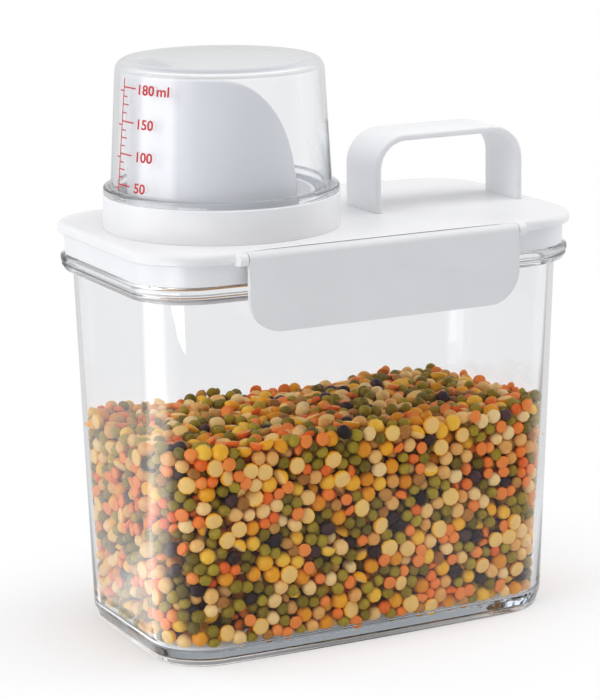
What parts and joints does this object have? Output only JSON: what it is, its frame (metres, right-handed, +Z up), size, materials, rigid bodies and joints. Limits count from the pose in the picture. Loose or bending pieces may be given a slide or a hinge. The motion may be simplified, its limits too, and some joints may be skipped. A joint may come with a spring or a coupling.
{
  "type": "dry food container with pouring spout",
  "caption": "Clear rectangular dry-food container with a white lid, hinged flap latches, a scoop spout under a lift-off measuring cup and a fixed strap handle.",
  "frame": {"origin": "centre of the base, on the surface that the container stands on", "axes": "+X along the length from the spout end to the handle end, +Y to the back, +Z up"},
  "size_m": [0.173, 0.1086, 0.2075],
  "materials": {
    "clear_plastic": "clear gloss",
    "white_plastic": "satin gloss",
    "spout_plastic": "satin gloss",
    "handle_plastic": "satin gloss",
    "latch_plastic": "satin gloss",
    "cup_plastic": "clear gloss with a red printed scale",
    "silicone": "matte translucent",
    "pin_steel": "drawn",
    "pulses": "dry, slightly waxy seed coats"
  },
  "bodies": {
    "container": {"container": "clear_plastic", "pulse_fill": "pulses"},
    "lid": {"lid": "white_plastic", "lid_gasket": "silicone", "spout": "spout_plastic", "spout_seal": "silicone", "handle": "handle_plastic", "front_latch_pin": "pin_steel", "back_latch_pin": "pin_steel"},
    "cup": {"measuring_cup": "cup_plastic", "cup_seal": "silicone"},
    "front_latch": {"front_latch": "latch_plastic"},
    "back_latch": {"back_latch": "latch_plastic"}
  },
  "joints": [
    {"name": "lid_lift", "type": "slide", "parent": "container", "child": "lid", "axis": [0, 0, 1], "range_m": [0, 0.03]},
    {"name": "cup_lift", "type": "slide", "parent": "lid", "child": "cup", "axis": [0, 0, 1], "range_m": [0, 0.06]},
    {"name": "front_latch_hinge", "type": "hinge", "parent": "lid", "child": "front_latch", "pos_m": [0, -0.0521, 0.1456], "axis": [-1, 0, 0], "range_deg": [0, 92]},
    {"name": "back_latch_hinge", "type": "hinge", "parent": "lid", "child": "back_latch", "pos_m": [0, 0.0521, 0.1456], "axis": [1, 0, 0], "range_deg": [0, 92]}
  ],
  "couplings": [
    {"joint": "front_latch_hinge", "follows": "lid_lift", "rad_per_m": 53.5},
    {"joint": "back_latch_hinge", "follows": "lid_lift", "rad_per_m": 53.5}
  ]
}
